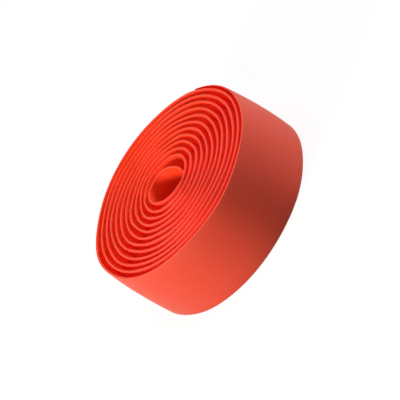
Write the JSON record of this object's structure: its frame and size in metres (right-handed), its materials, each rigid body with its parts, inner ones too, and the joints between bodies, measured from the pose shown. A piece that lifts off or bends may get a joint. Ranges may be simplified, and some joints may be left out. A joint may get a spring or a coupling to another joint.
{
  "type": "handlebar tape roll",
  "caption": "Roll of cushioned foam handlebar tape wound edge to edge around a small open loop, standing on its end.",
  "frame": {"origin": "middle of the roll's outline seen from above, on the surface that it stands on", "axes": "+Z along the winding's axis, up; the free inner end lies towards +X and -Y, and the outer end towards +X and +Y"},
  "size_m": [0.084, 0.0828, 0.031],
  "materials": {
    "foam": "matt, smooth closed-cell foam, orange-red right through"
  },
  "bodies": {
    "root": {"tape": "foam"}
  },
  "joints": []
}
